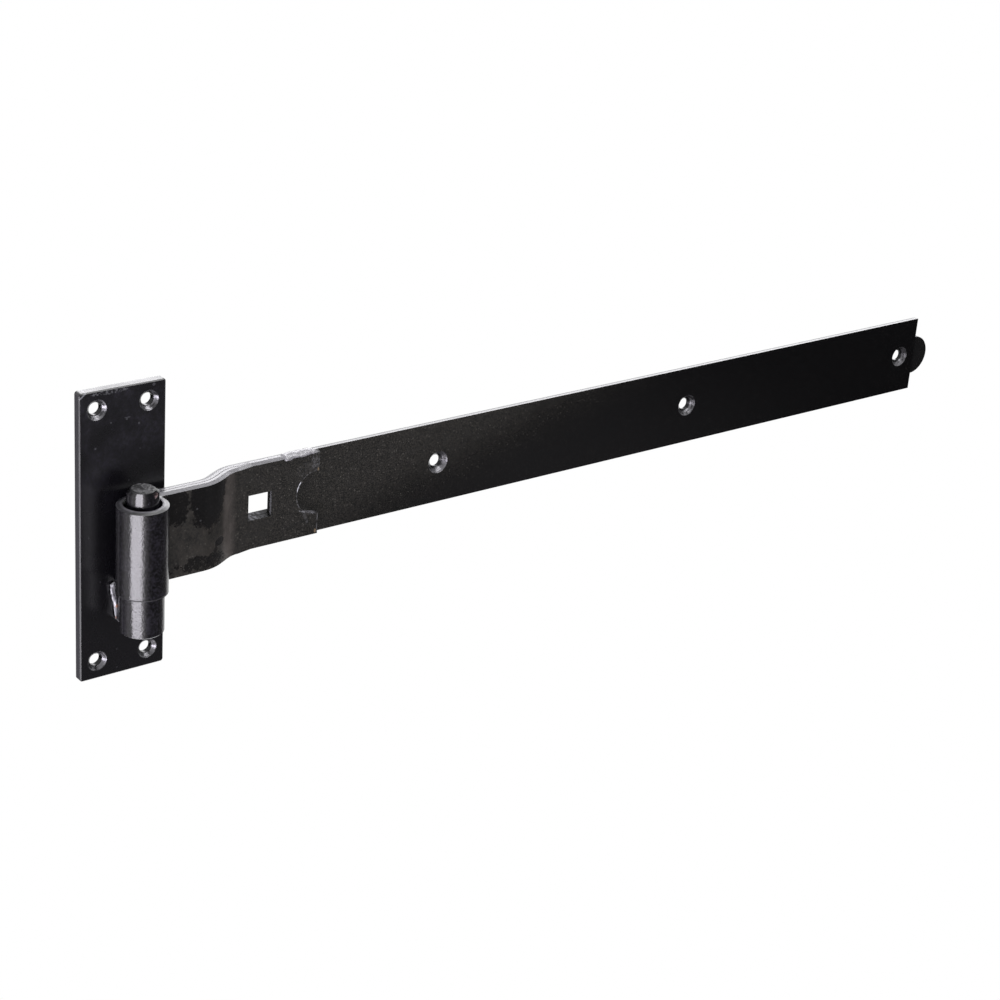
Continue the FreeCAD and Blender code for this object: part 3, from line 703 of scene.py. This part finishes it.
def leaf_marks(f, x, y, z, broken, coat):
    """Lay the leaf's specks, file marks, painted rim highlight and two ochre spots over the coat."""
    for centre, size in LEAF_DOTS:
        coat = f.blend(f.blob(x, z, centre, (size, size)) * 0.2, coat, rgb(0.15, 0.15, 0.16))
    leaf = on_front_leaf(f, y)
    coat = f.blend(file_marks_and_rim_highlight(f, x, z, broken) * leaf, coat, rgb(0.46, 0.46, 0.50))
    ochre = f.blob(x, z, (0.1187, 0.0137), (0.0005, 0.0014))
    ochre = ochre + f.blob(x, z, (0.1180, -0.0232), (0.0007, 0.0012))
    return f.blend(ochre * leaf * 0.45, coat, rgb(0.24, 0.17, 0.10))


# %% The square hole
def hole_masks(f, x, y, z, broken):
    """Masks for the hole's floor, its black right wall, and a torn line on that wall."""
    floor = f.ramp(x, HOLE_RIGHT + 0.0023, HOLE_RIGHT + 0.0013)
    floor = floor * f.ramp(x, HOLE_LEFT - 0.0005, HOLE_LEFT + 0.0005) * f.ramp(z, 0.0, -0.002)
    wall = f.ramp(abs(f.facing("X")), 0.50, 0.60) * f.ramp(abs(x - HOLE_RIGHT), 0.0035, 0.0030)
    shut = wall * f.ramp(y, FRONT_LEAF + 0.0002, FRONT_LEAF + 0.0010)
    line = FRONT_LEAF + 0.0012 - (broken - 0.5) * 0.003
    torn = f.ramp(abs(y - line), 0.0010, 0.0005) * wall
    return floor, shut, torn


def scraped_steel(f, spot, x):
    """Dark steel with light scrapes at the left."""
    scrapes = f.ramp(f.noise(spot, 420.0, 3.0, 0.6, (1.6, 0.5, 1)), 0.44, 0.58)
    scrapes = scrapes * f.ramp(x, 0.0900, 0.0800)
    return f.blend(scrapes, rgb(0.004, 0.004, 0.004), rgb(0.100, 0.100, 0.112))


# %% Band paint
def band_paint():
    f = Finish("band_gloss")
    spot, x, y, z = f.place()
    up = f.ramp(f.facing("Z"), 0.70, 0.92)
    barrel = f.ramp(x, BARREL_RIGHT + 0.0007, BARREL_RIGHT - 0.0008)
    ripple = f.noise(spot, 120.0, 3.0, 0.6)
    grain = f.noise(spot, 1100.0, 2.0, 0.7)
    broken = f.noise(spot, 800.0, 3.0, 0.6)

    # The bloom ends along a line that leans to the right as it rises.
    past_line = x - z * 3.2 + (f.noise(spot, 30.0, 3.0) - 0.5) * 0.06
    pools = clean_pools(f, spot, x, z, ripple)
    bloom = f.ramp(past_line, 0.33, 0.14) * (1 - pools * 0.93) * (1 - barrel)
    coat = f.blend(bloom, gloss_coat(f, spot, x, barrel, ripple), matt_coat(f, spot, x, ripple, grain))

    # The crank's second bend has a painted reflection: a soft pale stripe.
    painted_bend_sheen = f.ramp(x, 0.0535, 0.0580) * f.ramp(x, 0.0680, 0.0610) * (0.6 + f.ramp(ripple, 0.4, 0.6) * 0.4)
    coat = f.blend(painted_bend_sheen * (1 - pools) * 0.7, coat, rgb(0.0760, 0.0650, 0.0600))
    dust = f.specks(spot, 620.0, 0.26, 0.30) * (0.05 + bloom * 0.25)
    coat = leaf_marks(f, x, y, z, broken, f.blend(dust, coat, rgb(0.12, 0.112, 0.100)))

    # Faces that look up, which are the edges and the square hole's floor
    hole_floor, shut, torn = hole_masks(f, x, y, z, broken)
    edge = sheared_edge(f, spot, x, y, barrel, ripple)
    coat = f.blend(up, coat, f.blend(hole_floor, edge, scraped_steel(f, spot, x)))
    coat = f.blend(shut, coat, rgb(0.0010, 0.0010, 0.0010))
    coat = f.blend(torn * 0.8, coat, rgb(0.20, 0.20, 0.215))

    # A dark streak at the lower left of the notch
    streak = f.stroke(x, z, (0.0985, -0.0175), (0.1115, -0.0155), 0.0014) * on_front_leaf(f, y)
    coat = f.blend(streak * 0.5, coat, rgb(0.0030, 0.0030, 0.0030))

    # The screw holes, and the paint worn off the eye's lower end
    away = hole_distance(f, x, z, BAND_SCREWS[0], BAND_MIDDLE)
    for screw in BAND_SCREWS[1:]:
        away = least(away, hole_distance(f, x, z, screw, BAND_MIDDLE))
    tone = turned_rings_and_bore_shade(f, away, spot, BAND_SINK)
    worn_end = f.ramp(abs(z - band_low.z - 0.0003), 0.0005, 0.0002) * barrel
    waves = orange_skin(f, spot) * (0.10 + barrel * 0.95) + ripple * 0.2 + grain * bloom * 0.50
    cut_rings = tone * f.ramp(away, BAND_SINK - 0.0001, BAND_SINK - 0.0008)
    normal = f.bump(waves + cut_rings * 0.8 - worn_end * 1.5, 0.00013)
    rough = (0.12 + bloom * 0.30) * (1 - up) + up * (0.26 + hole_floor * 0.45)
    rough = rough + barrel * 0.05 + worn_end * 0.3 + shut * 0.5
    metal = hole_floor * up + shut * (1 - torn)
    return drilled_finish(f, away, BAND_SINK, tone, coat, rough, metal, normal)


# %% Paint on the CAD pieces
def wear(node, material):
    """Give a CAD piece its finish; its shape stays as it is."""
    mesh = nodes[node].data
    mesh.materials.clear()
    mesh.materials.append(material)


wear("plate", plate_paint())
wear("hook_pin", pin_paint())
wear("band", band_paint())

# %% [markdown]
# ## Weld beads
#
# A weld is a row of frozen puddles. The bead beside the collar is bare and
# silvery with a spot of rust, and it wanders. The one over the fold is broad,
# pale and lumpy and hangs a little over the front face. They could be sculpted
# by hand, but a lump made by a formula can be changed later: each bead is a
# closed tube along a short path, its rings swollen and shrunk by noise.

# %% Weld finish
RUST = (-0.0046, -0.0073, -0.0407)


def weld_metal(name, dark, light, covered, metallic):
    """Rough metal between two tones. Covered is the share that paint hides."""
    f = Finish(name)
    spot, x, y, z = f.place()
    ripples = f.noise(spot, 500.0, 3.0, 0.5)
    coarse = f.noise(spot, 200.0, 2.0)
    metal = f.blend(f.ramp(ripples, 0.32, 0.56), dark, light)
    # Rust sits in one spot of the left collar bead and at the foot of both.
    from_rust = f.distance(spot, RUST) + (coarse - 0.5) * 0.002
    rust = f.ramp(from_rust, 0.0016, 0.0008) * 0.8 + f.ramp(z, -0.0465, -0.0480) * 0.6
    rust = rust * f.ramp(x, 0.02, 0.01)
    metal = f.blend(rust, metal, rgb(0.38, 0.13, 0.045))
    hidden = f.ramp(coarse, 0.25 + covered * 0.5, 0.20 + covered * 0.5)
    colour = f.blend(hidden, metal, rgb(0.012, 0.0115, 0.012))
    normal = f.bump(ripples * 0.15 + coarse, 0.00012)
    return f.finish(Base_Color=colour, Metallic=(1 - hidden) * (1 - rust) * metallic,
                    Roughness=0.32 + rust * 0.4, Normal=normal)


# %% Weld shapes
RINGS, SIDES = 56, 20


def along(path, t):
    """The point at a share t of a path, counted in its stretches."""
    t = min(max(t, 0.0), 1.0) * (len(path) - 1)
    k = min(int(t), len(path) - 2)
    return path[k].lerp(path[k + 1], t - k)


def bead(name, path, across, up, half_size, lumps, seed, material, node, body):
    """A lumpy bar along a path that stands for a CAD weld.

    across and up are the directions of its cross-section, an ellipse with
    these half sizes. lumps is how much its rings swell and shrink.
    """
    path = [Vector(point) for point in path]
    across, up = Vector(across) * half_size[0], Vector(up) * half_size[1]
    length = sum((b - a).length for a, b in zip(path, path[1:]))

    work = bmesh.new()
    last = None
    for i in range(RINGS + 1):
        t = i / RINGS
        centre = (along(path, t - 0.06) + along(path, t) + along(path, t + 0.06)) / 3
        taper = min(1.0, 4.5 * min(t, 1 - t) + 0.2)
        ring = []
        for k in range(SIDES):
            turn = 2 * math.pi * k / SIDES
            swell = 1 + lumps * noise.noise(Vector((t * length * 260, turn * 0.9, seed)))
            swell += 0.12 * lumps * math.sin(t * length * 1900 + 0.5 * math.cos(turn))
            way = across * math.cos(turn) + up * math.sin(turn)
            ring.append(work.verts.new(centre + way * taper * swell))
        if last:
            for k in range(SIDES):
                work.faces.new((last[k], last[(k + 1) % SIDES], ring[(k + 1) % SIDES], ring[k]))
        else:
            work.faces.new(ring[::-1])
        last = ring
    work.faces.new(last)
    bmesh.ops.recalc_face_normals(work, faces=work.faces)
    mesh = bpy.data.meshes.new(name)
    work.to_mesh(mesh)
    work.free()
    mesh.shade_smooth()

    piece = bpy.data.objects.new(name, mesh)
    bpy.context.scene.collection.objects.link(piece)
    piece.data.materials.append(material)
    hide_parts(node)
    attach(piece, body)
    print("%s: %d faces" % (name, len(mesh.polygons)))


# %% Beads beside the collar
ALONG_X, ALONG_Y, ALONG_Z = (1, 0, 0), (0, 1, 0), (0, 0, 1)

silver = weld_metal("silver_weld", rgb(0.10, 0.10, 0.11), rgb(0.34, 0.335, 0.36), 0.0, 0.4)
low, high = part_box("collar_weld_left")
wandering = [(-0.0052, -0.0060, high.z), (-0.0066, -0.0062, -0.0280), (-0.0069, -0.0064, -0.0315),
             (-0.0054, -0.0064, -0.0365), (-0.0046, -0.0063, -0.0420), (-0.0043, -0.0062, low.z)]
bead("left_collar_bead", wandering, ALONG_X, ALONG_Y, (0.0013, 0.0010), 0.45, 2.0, silver,
     "collar_weld_left", "hook")

low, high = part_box("collar_weld_right")
bowed = [(low.x + 0.0008, -0.0062, high.z), (low.x + 0.0020, -0.0064, -0.0340),
         (low.x + 0.0010, -0.0062, low.z)]
bead("right_collar_bead", bowed, ALONG_X, ALONG_Y, (0.0014, 0.0016), 0.25, 5.0, silver,
     "collar_weld_right", "hook")

# %% Beads that close the fold
pale = weld_metal("pale_weld", rgb(0.14, 0.137, 0.147), rgb(0.225, 0.220, 0.236), 0.0, 0.1)
low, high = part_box("fold_weld")
over_fold = [(low.x + 0.0015, -0.0066, high.z - 0.0021), (low.x + 0.0080, -0.0066, high.z - 0.0019),
             (low.x + 0.0190, -0.0064, high.z - 0.0016), (high.x - 0.0010, -0.0060, high.z - 0.0017)]
bead("fold_bead", over_fold, ALONG_Y, ALONG_Z, (0.0036, 0.0016), 0.26, 8.0, pale,
     "fold_weld", "strap")

dark = weld_metal("black_weld", rgb(0.05, 0.05, 0.06), rgb(0.20, 0.20, 0.24), 0.55, 0.5)
low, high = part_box("limb_weld")
upright = [(low.x, high.y, low.z), (low.x, high.y, high.z)]
bead("limb_bead", upright, ALONG_X, ALONG_Y, (0.0022, 0.0022), 0.35, 11.0, dark,
     "limb_weld", "strap")
